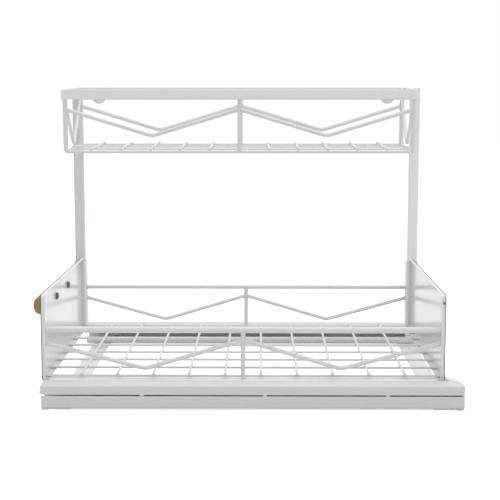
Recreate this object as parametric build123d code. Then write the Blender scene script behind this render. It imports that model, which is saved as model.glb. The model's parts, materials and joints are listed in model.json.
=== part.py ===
from build123d import *
import math
import os

# Pull-out under sink organizer: two fixed rails on the cabinet floor, and a drawer frame that rolls
# out of them, with a low wire basket, two uprights and a second wire basket at the top.
# Millimetres. X runs along the rails, with the wooden handle at low X. Y runs across, with the near
# rail at low Y. Z is up, and the rails stand at Z zero.

# Overall layout
rail_length = 417.5
width_over_rails = 321.5
rail_front_x = -200.9
foot_height = 1.5
overrun = 20.0
weld_gap = 0.05

# Rail sheet: a lower channel, a narrow slit and an upper angle
rail_sheet = 1.2
fold_radius = 1.5
lower_channel_height = 12.5
slit_height = 1.5
upper_angle_height = 9.4
lower_flange_width = 21.0
lower_lip_height = 8.5
upper_flange_width = 22.0
upper_corner_radius = 8.0
lower_channel_setback = 0.8
weld_tab_width = 4.0
weld_tab_pitch = 121.0
weld_tab_count = 3
first_weld_tab = 100.0

# Cross strips, feet and end plugs under and in the rails
strip_width = 20.0
strip_setback = 3.0
strip_inset = 9.4
strip_hole_radius = 2.25
strip_hole_spacing = 220.0
foot_length = 7.0
foot_width = 9.0
plug_thickness = 3.0
plug_width = 12.0
plug_corner_radius = 2.0

# Rollers and their axles
front_roller_radius = 6.5
rear_roller_radius = 10.3
roller_width = 7.0
roller_run_gap = 0.2
roller_edge_radius = 0.7
roller_dish_depth = 0.8
roller_dish_margin = 1.2
front_roller_inset = 37.2
roller_hub_radius = 3.6
axle_radius = 2.0
axle_running_gap = 0.05
axle_collar_radius = 2.8
axle_head_height = 1.2
roller_side_gap = 0.3
roller_outer_offset = 4.5

# Runners that carry the drawer between the rollers
travel = 280.0
stop_gap = 0.3
stop_tab_height = 7.3
stop_tab_width = 6.0
stop_tab_offset = 5.0
ledge_height = 16.25
ledge_reach = 19.3
runner_height = 8.25
runner_top_width = 15.2
runner_front_inset = 0.8
ledge_roller_gap = 2.0
lug_width = 16.0
lug_below_axle = 5.0
lug_corner_radius = 6.0
gusset_reach = 9.0
gusset_height = 6.5
arc_bow_share = 0.293

# Drawer end panels
drawer_length = 404.0
drawer_overhang = 2.6
rail_drawer_inset = 24.0
panel_sheet = 1.2
panel_height = 86.9
panel_return = 4.4
panel_foot = 7.0
panel_corner_radius = 5.5
panel_edge_radius = 0.9
hang_hole_radius = 1.25
hang_hole_drop = 8.4

# Square uprights and their sleeves
sleeve_side = 15.0
sleeve_wall = 1.5
sleeve_height = 82.5
sleeve_spacing = 404.6
tube_corner_radius = 1.2
post_side = 11.4
post_wall = 1.2
post_top = 314.0
cap_head = 1.5
cap_stem = 8.0
cap_clearance = 0.1
crossbar_drop = 0.6

# Screws
post_screw_radius = 1.8
post_screw_head_radius = 3.2
post_screw_head_height = 1.8
post_screw_drop = 9.0
handle_screw_radius = 2.0
handle_screw_head_radius = 3.75
handle_screw_head_height = 2.8
handle_screw_spacing = 72.6
handle_screw_depth = 9.0
ear_screw_radius = 2.0
ear_screw_head_radius = 3.6
ear_screw_head_height = 2.4
screw_clearance = 0.05
screw_head_edge_share = 0.45

# Lower basket wires
near_top_bar_diameter = 6.0
far_top_bar_diameter = 4.2
zigzag_diameter = 4.0
centre_bar_diameter = 4.5
floor_wire_diameter = 2.6
top_bar_height = 75.1
zigzag_peak_height = 64.2
zigzag_low_height = 35.4
zigzag_end_height = 62.1
zigzag_quarter = 98.3
zigzag_bend = 9.0
far_wire_inset = 12.0
floor_long_gaps = 7
floor_cross_count = 10
floor_cross_pitch = 36.1

# Upper basket
upper_length = 391.2
upper_depth = 117.0
upper_offset = -6.0
upper_tilt = 1.5
band_height = 10.4
band_sheet = 1.5
band_corner_radius = 4.0
band_middle_drop = 4.2
ring_drop = 62.9
ring_diameter = 3.6
ring_corner_radius = 7.0
corner_rod_diameter = 5.2
corner_rod_tuck = 1.5
upper_zigzag_diameter = 4.0
upper_zigzag_quarter = 96.0
upper_zigzag_peak_drop = 16.6
upper_zigzag_low_drop = 45.2
upper_zigzag_end_drop = 16.8
upper_centre_bar_diameter = 4.2
end_wire_diameter = 3.6
end_wire_top_drop = 9.0
end_wire_bend = 7.0
upper_floor_wire_diameter = 2.4
upper_long_gaps = 3
upper_cross_count = 11
upper_cross_pitch = 32.6
ear_radius = 8.5
ear_sheet = 1.8
ear_drop = 7.6
ear_spacing = 344.0
ear_offset = 2.4
band_ear_gap = 0.2

# Wooden handle
handle_thickness = 12.8
handle_width = 20.2
handle_length = 182.0
handle_drop = 16.4
handle_y = -16.0
handle_panel_gap = 0.3
handle_end_radius = 3.0

# Heights that follow
channel_low = foot_height
channel_floor = channel_low + rail_sheet
slit_low = channel_low + lower_channel_height
slit_high = slit_low + slit_height
rail_top = slit_high + upper_angle_height
runner_top = ledge_height + runner_height
panel_top = runner_top + panel_height
panel_foot_top = runner_top + panel_sheet
sleeve_top = runner_top + sleeve_height
floor_wire_radius = floor_wire_diameter / 2
floor_long_z = panel_foot_top + floor_wire_radius + weld_gap
floor_cross_z = floor_long_z + floor_wire_diameter + weld_gap
crossbar_top = post_top - crossbar_drop
ear_height = crossbar_top - ear_drop
band_middle_height = post_top - band_middle_drop
handle_height = panel_top - handle_drop

# Places along X that follow
rail_rear_x = rail_front_x + rail_length
panel_front_x = rail_front_x - drawer_overhang
drawer_x = panel_front_x + drawer_length / 2
panel_half = drawer_length / 2
panel_inner_half = panel_half - panel_sheet
plug_x = rail_rear_x - plug_thickness
rear_axle_x = plug_x - stop_gap - rear_roller_radius
front_axle_x = rail_front_x + front_roller_inset
runner_front_x = panel_front_x + runner_front_inset
runner_rear_x = plug_x - stop_gap
upper_x = drawer_x + upper_offset
ear_middle_x = upper_x + ear_offset

# Places along Y that follow, on the far side
rail_half = width_over_rails / 2
web_inner = rail_half - rail_sheet
drawer_half = rail_half - rail_drawer_inset
runner_web_outer = drawer_half + rail_sheet
roller_outer = rail_half - roller_outer_offset
roller_inner = roller_outer - roller_width
near_wire_y = -(drawer_half - panel_sheet - near_top_bar_diameter / 2 - weld_gap)
sleeve_y = drawer_half - sleeve_side / 2
far_wire_y = drawer_half - far_wire_inset
panel_rear_y = drawer_half - sleeve_side
rail_wire_offset = centre_bar_diameter / 2 + floor_wire_radius + weld_gap
near_rail_y = near_wire_y + rail_wire_offset
far_rail_y = far_wire_y - rail_wire_offset
post_front_y = sleeve_y - post_side / 2
post_rear_y = sleeve_y + post_side / 2
ear_back_y = post_front_y - weld_gap
ear_front_y = ear_back_y - ear_sheet

# Axle heights that follow
front_axle_z = ledge_height - roller_run_gap - front_roller_radius
rear_axle_z = channel_floor + roller_run_gap + rear_roller_radius

nodes = {}


def keep(name, *solids):
    """Remember one named piece, or a group of like pieces."""
    nodes[name] = solids


def span_box(low, high):
    """A block between two opposite corners."""
    middle = [(a + b) / 2 for a, b in zip(low, high)]
    size = [b - a for a, b in zip(low, high)]
    return Pos(*middle) * Box(*size)


def rod(start, end, diameter):
    """A straight round wire between two points."""
    run = Vector(*end) - Vector(*start)
    return Solid.make_cylinder(diameter / 2, run.length, Plane(origin=start, z_dir=run))


def bent_wire(points, diameter, bend):
    """A round wire along straight runs joined by bends of one radius."""
    path = FilletPolyline(*points, radius=bend)
    section = Plane(origin=path @ 0, z_dir=path % 0) * Circle(diameter / 2)
    return sweep(section, path=path)


def folded_strip(points, thickness, x_start, x_end):
    """A folded sheet along X, from the middle line of its section in Y and Z."""
    line = FilletPolyline(*points, radius=fold_radius)
    section = Plane((x_start, 0, 0), x_dir=(0, 1, 0), z_dir=(1, 0, 0)) * trace(line, thickness)
    return extrude(section, amount=x_end - x_start)


def far_copy(solid):
    """The same piece on the far side."""
    return mirror(solid, about=Plane.XZ)


def rear_copy(solid):
    """The same piece at the other end of the drawer."""
    return mirror(solid, about=Plane((drawer_x, 0, 0), z_dir=(1, 0, 0)))


def square_tube(side, wall, low, high):
    """A square tube along Z with rounded corners, centred on its axis."""
    outer = RectangleRounded(side, side, tube_corner_radius)
    inner = Rectangle(side - 2 * wall, side - 2 * wall)
    return extrude(Pos(0, 0, low) * (outer - inner), amount=high - low)


def pan_screw(tip, seat, radius, head_radius, head_height):
    """A pan head screw from its tip to the seat of its head."""
    run = Vector(*seat) - Vector(*tip)
    shank = Solid.make_cylinder(radius, run.length, Plane(origin=tip, z_dir=run))
    head = Solid.make_cylinder(head_radius, head_height, Plane(origin=seat, z_dir=run))
    crown = head.faces().sort_by(lambda face: (face.center() - Vector(*tip)).length)[-1]
    head = fillet(crown.edges(), head_height * screw_head_edge_share)
    return shank + head


def lower_channel():
    """Near lower channel: a web, a floor, an inner lip and the tab that stops the rear roller."""
    web_y = -rail_half + rail_sheet / 2
    flange_z = channel_low + rail_sheet / 2
    lip_y = -rail_half + lower_flange_width - rail_sheet / 2
    lip_top = channel_low + lower_lip_height
    line = [(web_y, slit_low), (web_y, flange_z), (lip_y, flange_z), (lip_y, lip_top)]
    channel = folded_strip(line, rail_sheet, rail_front_x + lower_channel_setback, rail_rear_x)
    tab_x = rear_axle_x - travel - rear_roller_radius - stop_gap
    tab_y = -rail_half + stop_tab_offset
    tab_low = (tab_x - rail_sheet, tab_y, channel_floor - rail_sheet / 2)
    tab_high = (tab_x, tab_y + stop_tab_width, channel_floor + stop_tab_height)
    tab = span_box(tab_low, tab_high)
    tab = fillet(tab.edges().filter_by(Axis.X).group_by(Axis.Z)[-1], rail_sheet)
    return channel + tab


def upper_angle():
    """Near upper angle: a face, a top flange with a rounded inner corner, and its weld tabs."""
    web_y = -rail_half + rail_sheet / 2
    flange_z = rail_top - rail_sheet / 2
    line = [(web_y, slit_high), (web_y, flange_z), (-rail_half + upper_flange_width, flange_z)]
    angle = folded_strip(line, rail_sheet, rail_front_x, rail_rear_x)
    corner = angle.edges().filter_by(Axis.Z).group_by(Axis.X)[-1].sort_by(Axis.Y)[-1]
    angle = fillet(corner, upper_corner_radius)
    for number in range(weld_tab_count):
        tab_x = rail_front_x + first_weld_tab + number * weld_tab_pitch
        low = (tab_x - weld_tab_width / 2, -rail_half, slit_low)
        high = (tab_x + weld_tab_width / 2, -web_inner, slit_high)
        angle += span_box(low, high)
    return angle


def end_plug():
    """Near plastic plug in the rear end of the rail, which the rear roller rests against."""
    low = (plug_x, -web_inner + weld_gap, channel_floor + weld_gap)
    high = (rail_rear_x, -web_inner + plug_width, rail_top - rail_sheet - weld_gap)
    plug = span_box(low, high)
    return fillet(plug.edges().filter_by(Axis.X), plug_corner_radius)


def cross_strip(middle_x):
    """A flat strip under both rails with a screw hole near each end."""
    half_length = rail_half - strip_setback
    low = (middle_x - strip_width / 2, -half_length, 0)
    high = (middle_x + strip_width / 2, half_length, foot_height)
    strip = span_box(low, high)
    for side in (-1, 1):
        start = (middle_x, side * strip_hole_spacing / 2, -overrun)
        end = (middle_x, side * strip_hole_spacing / 2, overrun)
        strip -= rod(start, end, 2 * strip_hole_radius)
    return strip


def rail_foot(end_x, side, towards):
    """A small pad under one end of a rail."""
    x_pair = sorted((end_x, end_x + towards * foot_length))
    y_pair = sorted((side * (rail_half - lower_channel_setback), side * (rail_half - foot_width)))
    pad = span_box((x_pair[0], y_pair[0], 0), (x_pair[1], y_pair[1], foot_height))
    return fillet(pad.edges().filter_by(Axis.Z), foot_height)


def roller(radius, centre_x, centre_z):
    """Near nylon roller with rounded edges, a dished face on each side and a running bore."""
    half = roller_width / 2
    tyre = Cylinder(radius, roller_width)
    tyre = fillet(tyre.edges(), roller_edge_radius)
    dish = Cylinder(radius - roller_dish_margin, roller_dish_depth)
    dish -= Cylinder(roller_hub_radius, roller_dish_depth)
    for side in (-1, 1):
        tyre -= Pos(0, 0, side * (half - roller_dish_depth / 2)) * dish
    tyre -= Cylinder(axle_radius + axle_running_gap, roller_width + overrun)
    middle_y = -(roller_outer - half)
    return Pos(centre_x, middle_y, centre_z) * Rot(X=90) * tyre


def front_axle():
    """Near front axle, riveted to the channel's web, with the head on the inside."""
    start_y = -web_inner
    collar_end = -roller_outer - roller_side_gap
    head_start = -roller_inner + roller_side_gap
    x, z = front_axle_x, front_axle_z
    pin = rod((x, start_y, z), (x, head_start + axle_head_height, z), 2 * axle_radius)
    collar = rod((x, start_y, z), (x, collar_end, z), 2 * axle_collar_radius)
    head = rod((x, head_start, z), (x, head_start + axle_head_height, z), 2 * axle_collar_radius)
    return pin + collar + head


def rear_axle():
    """Near rear axle, riveted to the runner's lug, with the head on the outside."""
    start_y = -runner_web_outer
    collar_end = -roller_inner + roller_side_gap
    head_start = -roller_outer - roller_side_gap
    x, z = rear_axle_x, rear_axle_z
    pin = rod((x, start_y, z), (x, head_start - axle_head_height, z), 2 * axle_radius)
    collar = rod((x, start_y, z), (x, collar_end, z), 2 * axle_collar_radius)
    head = rod((x, head_start, z), (x, head_start - axle_head_height, z), 2 * axle_collar_radius)
    return pin + collar + head


def runner():
    """Near runner: outer ledge, web, top flange, a lug for the rear axle and a rear gusset."""
    ledge_z = ledge_height + rail_sheet / 2
    web_y = -drawer_half - rail_sheet / 2
    flange_z = runner_top - rail_sheet / 2
    ledge_y = -drawer_half - rail_sheet - ledge_reach
    flange_y = -drawer_half - rail_sheet + runner_top_width
    line = [(ledge_y, ledge_z), (web_y, ledge_z), (web_y, flange_z), (flange_y, flange_z)]
    strip = folded_strip(line, rail_sheet, runner_front_x, runner_rear_x)
    cut_x = rear_axle_x - rear_roller_radius - ledge_roller_gap
    strip -= span_box((cut_x, -rail_half, channel_low), (rail_rear_x, -runner_web_outer, rail_top))
    web_plane = Plane((0, -drawer_half, 0), x_dir=(1, 0, 0), z_dir=(0, -1, 0))
    lug_low = rear_axle_z - lug_below_axle
    lug_height = ledge_height + fold_radius + rail_sheet - lug_low
    lug = Rectangle(lug_width, lug_height)
    lug = fillet(lug.vertices().group_by(Axis.Y)[0], lug_corner_radius)
    lug = Pos(rear_axle_x, lug_low + lug_height / 2) * lug
    gusset_x = drawer_x + panel_half + weld_gap
    corner = (gusset_x, flange_z)
    toe = (gusset_x + gusset_reach, runner_top)
    head = (gusset_x, runner_top + gusset_height)
    bow = (gusset_x + gusset_reach * arc_bow_share, runner_top + gusset_height * arc_bow_share)
    outline = [Line(corner, (toe[0], corner[1])), Line((toe[0], corner[1]), toe)]
    outline += [ThreePointArc(toe, bow, head), Line(head, corner)]
    gusset = make_face(outline)
    strip += extrude(web_plane * lug, amount=rail_sheet)
    strip += extrude(web_plane * gusset, amount=rail_sheet)
    return strip


def end_panel():
    """Front end panel: a shallow pressed pan whose rim turns inwards, with a wider foot."""
    depth_y = panel_rear_y + drawer_half
    middle_y = (panel_rear_y - drawer_half) / 2
    middle_z = runner_top + panel_height / 2
    face_plane = Plane((panel_front_x, 0, 0), x_dir=(0, 1, 0), z_dir=(1, 0, 0))
    outline = Pos(middle_y, middle_z) * Rectangle(depth_y, panel_height)
    outline = fillet(outline.vertices().group_by(Axis.Y)[-1], panel_corner_radius)
    hollow = Pos(middle_y, middle_z) * Rectangle(depth_y - 2 * panel_sheet, panel_height - 2 * panel_sheet)
    hollow = fillet(hollow.vertices().group_by(Axis.Y)[-1], panel_corner_radius - panel_sheet)
    pan = extrude(face_plane * outline, amount=panel_return)
    rim_edges = pan.faces().sort_by(Axis.X)[0].edges()
    pan = fillet(rim_edges, panel_edge_radius)
    hollow_plane = face_plane.offset(panel_sheet)
    pan -= extrude(hollow_plane * hollow, amount=panel_return)
    foot_low = (panel_front_x + panel_return, -drawer_half, runner_top)
    foot_high = (panel_front_x + panel_foot, panel_rear_y, panel_foot_top)
    return pan + span_box(foot_low, foot_high)


def front_panel():
    """The end panel with the two screw holes of the handle."""
    panel = end_panel()
    for side in (-1, 1):
        y = handle_y + side * handle_screw_spacing / 2
        start = (panel_front_x - overrun, y, handle_height)
        end = (panel_front_x + overrun, y, handle_height)
        panel -= rod(start, end, 2 * (handle_screw_radius + screw_clearance))
    return panel


def rear_panel():
    """The end panel with a small hole in its near rim."""
    panel = rear_copy(end_panel())
    hole_x = drawer_x + panel_half - panel_return / 2
    hole_z = panel_top - hang_hole_drop
    start = (hole_x, -drawer_half - overrun, hole_z)
    end = (hole_x, -drawer_half + overrun, hole_z)
    return panel - rod(start, end, 2 * hang_hole_radius)


def post_hole(side):
    """The clearance hole for the screw that joins a post to its sleeve."""
    z = sleeve_top - post_screw_drop
    axis_x = drawer_x + side * sleeve_spacing / 2
    radius = post_screw_radius + screw_clearance
    return rod((axis_x, sleeve_y, z), (axis_x + side * overrun, sleeve_y, z), 2 * radius)


def upright(side_length, wall, low, high, side):
    """A post or a sleeve at one end of the drawer, drilled for its screw."""
    axis_x = drawer_x + side * sleeve_spacing / 2
    return Pos(axis_x, sleeve_y, 0) * square_tube(side_length, wall, low, high) - post_hole(side)


def post_screw(side):
    """The screw through a sleeve into the post inside it."""
    z = sleeve_top - post_screw_drop
    axis_x = drawer_x + side * sleeve_spacing / 2
    seat = (axis_x + side * sleeve_side / 2, sleeve_y, z)
    tip = (axis_x + side * (post_side / 2 - post_wall - post_screw_radius), sleeve_y, z)
    return pan_screw(tip, seat, post_screw_radius, post_screw_head_radius, post_screw_head_height)


def post_cap(side):
    """A plastic cap pushed into the top of a post."""
    axis_x = drawer_x + side * sleeve_spacing / 2
    stem_side = post_side - 2 * post_wall - 2 * cap_clearance
    stem = Rectangle(stem_side, stem_side)
    head = RectangleRounded(post_side, post_side, tube_corner_radius)
    stem_length = cap_stem + cap_head / 2
    stem_solid = extrude(Pos(axis_x, sleeve_y, post_top - cap_stem) * stem, amount=stem_length)
    head_solid = extrude(Pos(axis_x, sleeve_y, post_top) * head, amount=cap_head)
    return stem_solid + head_solid


def crossbar():
    """The square tube between the posts, drilled right through for the screws of the ears."""
    half = sleeve_spacing / 2 - post_side / 2
    outer = RectangleRounded(post_side, post_side, tube_corner_radius)
    inner = Rectangle(post_side - 2 * post_wall, post_side - 2 * post_wall)
    plane = Plane((drawer_x - half, sleeve_y, crossbar_top - post_side / 2), z_dir=(1, 0, 0))
    bar = extrude(plane * (outer - inner), amount=2 * half)
    for side in (-1, 1):
        x = ear_middle_x + side * ear_spacing / 2
        start = (x, post_front_y - overrun, ear_height)
        end = (x, post_rear_y + overrun, ear_height)
        bar -= rod(start, end, 2 * (ear_screw_radius + screw_clearance))
    return bar


def mounting_ear(side):
    """A round plate between the upper basket's rear band and the crossbar."""
    x = ear_middle_x + side * ear_spacing / 2
    plate = rod((x, ear_front_y, ear_height), (x, ear_back_y, ear_height), 2 * ear_radius)
    start = (x, ear_front_y - overrun, ear_height)
    end = (x, ear_back_y + overrun, ear_height)
    return plate - rod(start, end, 2 * (ear_screw_radius + screw_clearance))


def ear_screw(side):
    """The screw from behind the crossbar into an ear."""
    x = ear_middle_x + side * ear_spacing / 2
    tip = (x, ear_front_y, ear_height)
    seat = (x, post_rear_y, ear_height)
    return pan_screw(tip, seat, ear_screw_radius, ear_screw_head_radius, ear_screw_head_height)


def lower_zigzag(y, end_half):
    """The pair of V wires on one long side, each from the centre bar to the end of the basket."""
    wires = []
    trim = rod((drawer_x, y, 0), (drawer_x, y, top_bar_height), centre_bar_diameter + 2 * weld_gap)
    for side in (-1, 1):
        start = (drawer_x, y, zigzag_peak_height)
        low = (drawer_x + side * zigzag_quarter, y, zigzag_low_height)
        reach = zigzag_end_height - zigzag_low_height
        slope = reach / (end_half - zigzag_quarter)
        past = drawer_x + side * (end_half + zigzag_diameter)
        end = (past, y, zigzag_end_height + slope * zigzag_diameter)
        wire = bent_wire([start, low, end], zigzag_diameter, zigzag_bend) - trim
        face_x = drawer_x + side * (end_half - weld_gap)
        beyond = span_box(
            (min(face_x, face_x + side * overrun), y - overrun, 0),
            (max(face_x, face_x + side * overrun), y + overrun, panel_top),
        )
        pieces = (wire - beyond).solids().sort_by(SortBy.VOLUME)
        wires.append(pieces[-1])
    return wires


def floor_wires():
    """The long wires on the panel feet, and the cross wires on top of them."""
    half = panel_inner_half - weld_gap
    long_wires = []
    for number in range(1, floor_long_gaps):
        y = near_rail_y + (far_rail_y - near_rail_y) * number / floor_long_gaps
        start = (drawer_x - half, y, floor_long_z)
        end = (drawer_x + half, y, floor_long_z)
        long_wires.append(rod(start, end, floor_wire_diameter))
    cross_wires = []
    for number in range(floor_cross_count):
        x = drawer_x + (number - (floor_cross_count - 1) / 2) * floor_cross_pitch
        start = (x, near_wire_y - floor_wire_radius, floor_cross_z)
        end = (x, far_wire_y + floor_wire_radius, floor_cross_z)
        cross_wires.append(rod(start, end, floor_wire_diameter))
    return long_wires, cross_wires


def handle():
    """The oval wooden bar on the front panel, bored for its two screws."""
    x = panel_front_x - handle_panel_gap - handle_thickness / 2
    end = (x, handle_y + handle_length / 2, handle_height)
    section = Plane(end, x_dir=(1, 0, 0), z_dir=(0, -1, 0)) * Ellipse(handle_thickness / 2, handle_width / 2)
    bar = extrude(section, amount=handle_length)
    bar = fillet(bar.edges().filter_by(GeomType.ELLIPSE), handle_end_radius)
    for side in (-1, 1):
        y = handle_y + side * handle_screw_spacing / 2
        start = (panel_front_x - handle_screw_depth, y, handle_height)
        end = (panel_front_x + overrun, y, handle_height)
        bar -= rod(start, end, 2 * (handle_screw_radius + screw_clearance))
    return bar


def handle_screw(side):
    """The pan head screw from inside the panel into the handle."""
    y = handle_y + side * handle_screw_spacing / 2
    tip = (panel_front_x - handle_screw_depth + screw_clearance, y, handle_height)
    seat = (panel_front_x + panel_sheet, y, handle_height)
    return pan_screw(
        tip, seat, handle_screw_radius, handle_screw_head_radius, handle_screw_head_height
    )


def upper_band():
    """The flat band round the rim, in the basket's own frame, with its rear face at Y zero."""
    outer = RectangleRounded(upper_length, upper_depth, band_corner_radius)
    inner = RectangleRounded(
        upper_length - 2 * band_sheet, upper_depth - 2 * band_sheet, band_corner_radius - band_sheet
    )
    return extrude(Pos(0, -upper_depth / 2, -band_height / 2) * (outer - inner), amount=band_height)


# Upper basket places in its own frame, from the rear face and the middle of its band
rod_radius = corner_rod_diameter / 2
upper_wire_half = upper_length / 2 - band_sheet - rod_radius - weld_gap
upper_far_plane = -(band_sheet + rod_radius + weld_gap)
upper_near_plane = -(upper_depth - band_sheet - rod_radius - weld_gap)
ring_half_x = upper_length / 2 - band_sheet - ring_diameter / 2
ring_half_y = upper_depth / 2 - band_sheet - ring_diameter / 2
ring_z = -ring_drop
ring_top = ring_z + ring_diameter / 2
upper_floor_radius = upper_floor_wire_diameter / 2
upper_cross_z = ring_top + weld_gap + upper_floor_radius
upper_long_z = ring_top - upper_floor_radius


def bottom_ring():
    """The round wire frame under the upper basket."""
    outline = Rectangle(2 * ring_half_x, 2 * ring_half_y)
    outline = fillet(outline.vertices(), ring_corner_radius)
    path = (Pos(0, -upper_depth / 2, ring_z) * outline).face().outer_wire()
    section = Plane(origin=path @ 0, z_dir=path % 0) * Circle(ring_diameter / 2)
    return sweep(section, path=path)


def corner_rods():
    """The four upright rods inside the corners of the band."""
    low = ring_top + weld_gap
    high = band_height / 2 - corner_rod_tuck
    rods = []
    for side in (-1, 1):
        for y in (upper_near_plane, upper_far_plane):
            x = side * upper_wire_half
            rods.append(rod((x, y, low), (x, y, high), corner_rod_diameter))
    return rods


def upper_zigzag(y):
    """The pair of V wires on one long side of the upper basket."""
    wires = []
    gap = 2 * weld_gap
    middle = rod((0, y, -ring_drop), (0, y, ring_drop), upper_centre_bar_diameter + gap)
    for side in (-1, 1):
        corner_x = side * upper_wire_half
        corner = rod((corner_x, y, -ring_drop), (corner_x, y, ring_drop), corner_rod_diameter + gap)
        start = (0, y, -upper_zigzag_peak_drop)
        low = (side * upper_zigzag_quarter, y, -upper_zigzag_low_drop)
        end = (corner_x, y, -upper_zigzag_end_drop)
        wire = bent_wire([start, low, end], upper_zigzag_diameter, zigzag_bend) - middle - corner
        wires.append(wire.solids().sort_by(SortBy.VOLUME)[-1])
    return wires


def end_wire(side):
    """The V wire on one short side of the upper basket, from corner to corner over the ring."""
    x = side * upper_wire_half
    gap = 2 * weld_gap
    low_z = ring_top + weld_gap + end_wire_diameter / 2
    near = (x, upper_near_plane, -end_wire_top_drop)
    low = (x, -upper_depth / 2, low_z)
    far = (x, upper_far_plane, -end_wire_top_drop)
    wire = bent_wire([near, low, far], end_wire_diameter, end_wire_bend)
    for y in (upper_near_plane, upper_far_plane):
        wire -= rod((x, y, -ring_drop), (x, y, ring_drop), corner_rod_diameter + gap)
    return wire.solids().sort_by(SortBy.VOLUME)[-1]


def upper_centre_bar(y):
    """The upright bar in the middle of one long side of the upper basket."""
    low = ring_top + weld_gap
    high = band_height / 2 - corner_rod_tuck
    return rod((0, y, low), (0, y, high), upper_centre_bar_diameter)


def upper_floor():
    """The long wires between the ring's ends, and the cross wires laid over them."""
    long_wires = []
    half = ring_half_x - ring_diameter / 2 - weld_gap
    for number in range(1, upper_long_gaps):
        y = -upper_depth / 2 + ring_half_y * (2 * number / upper_long_gaps - 1)
        start = (-half, y, upper_long_z - weld_gap)
        end = (half, y, upper_long_z - weld_gap)
        long_wires.append(rod(start, end, upper_floor_wire_diameter))
    bar_reach = upper_centre_bar_diameter / 2 + weld_gap
    cross_wires = []
    for number in range(upper_cross_count):
        place = number - (upper_cross_count - 1) / 2
        near = -upper_depth / 2 - ring_half_y
        far = -upper_depth / 2 + ring_half_y
        if place == 0:
            near = upper_near_plane + bar_reach
            far = upper_far_plane - bar_reach
        x = place * upper_cross_pitch
        start = (x, near, upper_cross_z)
        end = (x, far, upper_cross_z)
        cross_wires.append(rod(start, end, upper_floor_wire_diameter))
    return long_wires, cross_wires


def hang(*solids):
    """Lean pieces of the upper basket forward, and move them in front of the ears."""
    rise = upper_depth / 2 * math.sin(math.radians(upper_tilt))
    lean = band_height / 2 * math.sin(math.radians(upper_tilt))
    pivot_y = ear_front_y - band_ear_gap - lean
    place = Pos(upper_x, pivot_y, band_middle_height + rise) * Rot(X=upper_tilt)
    return [place * solid for solid in solids]


keep("near_lower_channel", lower_channel())
keep("far_lower_channel", far_copy(lower_channel()))
keep("near_upper_angle", upper_angle())
keep("far_upper_angle", far_copy(upper_angle()))
keep("rail_end_plugs", end_plug(), far_copy(end_plug()))
keep("front_cross_strip", cross_strip(rail_front_x + strip_inset + strip_width / 2))
keep("rear_cross_strip", cross_strip(rail_rear_x - strip_inset - strip_width / 2))
feet = []
for foot_side in (-1, 1):
    feet.append(rail_foot(rail_front_x + lower_channel_setback, foot_side, 1))
    feet.append(rail_foot(rail_rear_x, foot_side, -1))
keep("rail_feet", *feet)
keep("near_front_axle", front_axle())
keep("far_front_axle", far_copy(front_axle()))
keep("near_front_roller", roller(front_roller_radius, front_axle_x, front_axle_z))
keep("far_front_roller", far_copy(roller(front_roller_radius, front_axle_x, front_axle_z)))
keep("near_rear_roller", roller(rear_roller_radius, rear_axle_x, rear_axle_z))
keep("far_rear_roller", far_copy(roller(rear_roller_radius, rear_axle_x, rear_axle_z)))

keep("near_runner", runner())
keep("far_runner", far_copy(runner()))
keep("near_rear_axle", rear_axle())
keep("far_rear_axle", far_copy(rear_axle()))
keep("front_panel", front_panel())
keep("rear_panel", rear_panel())
keep("front_sleeve", upright(sleeve_side, sleeve_wall, runner_top, sleeve_top, -1))
keep("rear_sleeve", upright(sleeve_side, sleeve_wall, runner_top, sleeve_top, 1))
keep("front_post", upright(post_side, post_wall, runner_top + weld_gap, post_top, -1))
keep("rear_post", upright(post_side, post_wall, runner_top + weld_gap, post_top, 1))
keep("post_caps", post_cap(-1), post_cap(1))
keep("post_screws", post_screw(-1), post_screw(1))
keep("top_crossbar", crossbar())

near_bar_half = panel_inner_half - weld_gap
far_bar_half = sleeve_spacing / 2 - sleeve_side / 2
far_rail_half = far_bar_half - weld_gap
for bar_name, bar_half, bar_y, bar_z, bar_diameter in (
    ("near_top_bar", near_bar_half, near_wire_y, top_bar_height, near_top_bar_diameter),
    ("far_top_bar", far_bar_half - weld_gap, far_wire_y, top_bar_height, far_top_bar_diameter),
    ("near_bottom_rail", near_bar_half, near_rail_y, floor_long_z, floor_wire_diameter),
    ("far_bottom_rail", far_rail_half, far_rail_y, floor_long_z, floor_wire_diameter),
):
    bar_start = (drawer_x - bar_half, bar_y, bar_z)
    bar_end = (drawer_x + bar_half, bar_y, bar_z)
    keep(bar_name, rod(bar_start, bar_end, bar_diameter))
keep("near_zigzag", *lower_zigzag(near_wire_y, panel_inner_half))
keep("far_zigzag", *lower_zigzag(far_wire_y, far_bar_half))
for bar_name, bar_y, bar_radius in (
    ("near_centre_bar", near_wire_y, near_top_bar_diameter / 2),
    ("far_centre_bar", far_wire_y, far_top_bar_diameter / 2),
):
    bar_start = (drawer_x, bar_y, runner_top + weld_gap)
    bar_end = (drawer_x, bar_y, top_bar_height - bar_radius - weld_gap)
    keep(bar_name, rod(bar_start, bar_end, centre_bar_diameter))
floor_long, floor_cross = floor_wires()
keep("floor_long_wires", *floor_long)
keep("floor_cross_wires", *floor_cross)

keep("upper_band", *hang(upper_band()))
keep("upper_corner_rods", *hang(*corner_rods()))
keep("upper_bottom_ring", *hang(bottom_ring()))
keep("upper_near_zigzag", *hang(*upper_zigzag(upper_near_plane)))
keep("upper_far_zigzag", *hang(*upper_zigzag(upper_far_plane)))
keep("upper_front_end_wire", *hang(end_wire(-1)))
keep("upper_rear_end_wire", *hang(end_wire(1)))
keep("upper_near_centre_bar", *hang(upper_centre_bar(upper_near_plane)))
keep("upper_far_centre_bar", *hang(upper_centre_bar(upper_far_plane)))
upper_long, upper_cross = upper_floor()
keep("upper_long_wires", *hang(*upper_long))
keep("upper_cross_wires", *hang(*upper_cross))
keep("mounting_ears", mounting_ear(-1), mounting_ear(1))
keep("ear_screws", ear_screw(-1), ear_screw(1))

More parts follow.
